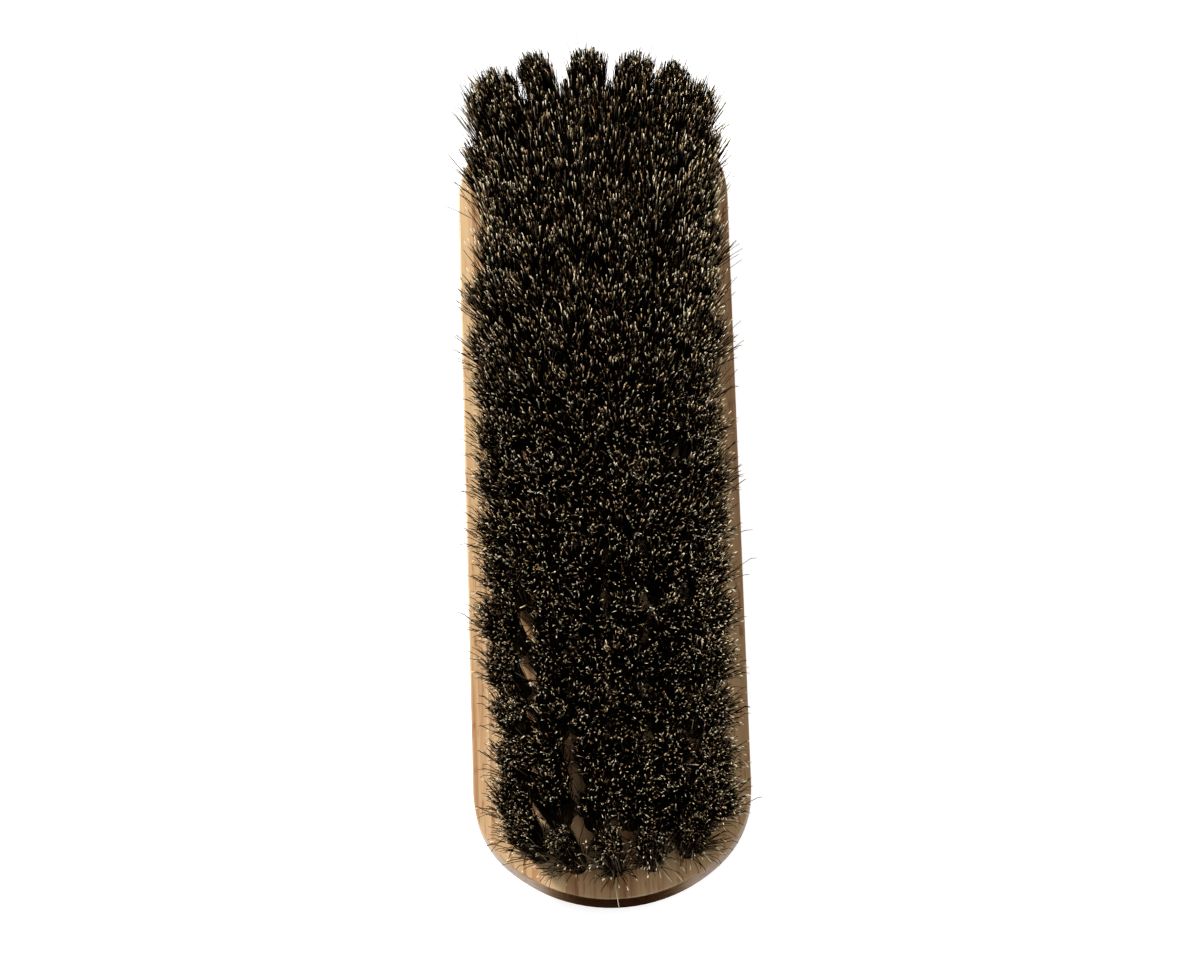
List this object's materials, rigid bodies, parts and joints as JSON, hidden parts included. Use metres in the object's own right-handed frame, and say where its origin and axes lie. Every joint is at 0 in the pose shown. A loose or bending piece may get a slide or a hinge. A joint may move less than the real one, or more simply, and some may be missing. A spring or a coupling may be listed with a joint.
{
  "type": "shoe shine brush",
  "caption": "Hand brush with a rounded wooden block, finger grooves and dense flat-trimmed dark horsehair tufts.",
  "frame": {"origin": "centre of the brush's bounding box at its base: the middle of the flat land on the back of the block", "axes": "+Z from the back of the block to the hair tips, Y along the block's length, X across it"},
  "size_m": [0.055, 0.17, 0.046],
  "materials": {
    "wood": "satin varnished beech",
    "horsehair": "natural sheen",
    "anchor_wire": "plain drawn wire"
  },
  "bodies": {
    "root": {"handle_block": "wood", "tuft_row_01": "horsehair", "tuft_row_02": "horsehair", "tuft_row_03": "horsehair", "tuft_row_04": "horsehair", "tuft_row_05": "horsehair", "tuft_row_06": "horsehair", "tuft_row_07": "horsehair", "tuft_row_08": "horsehair", "tuft_row_09": "horsehair", "tuft_row_10": "horsehair", "tuft_row_11": "horsehair", "tuft_row_12": "horsehair", "tuft_row_13": "horsehair", "tuft_row_14": "horsehair", "tuft_row_15": "horsehair", "tuft_row_16": "horsehair", "tuft_row_17": "horsehair", "tuft_row_18": "horsehair", "tuft_anchors": "anchor_wire"}
  },
  "joints": []
}
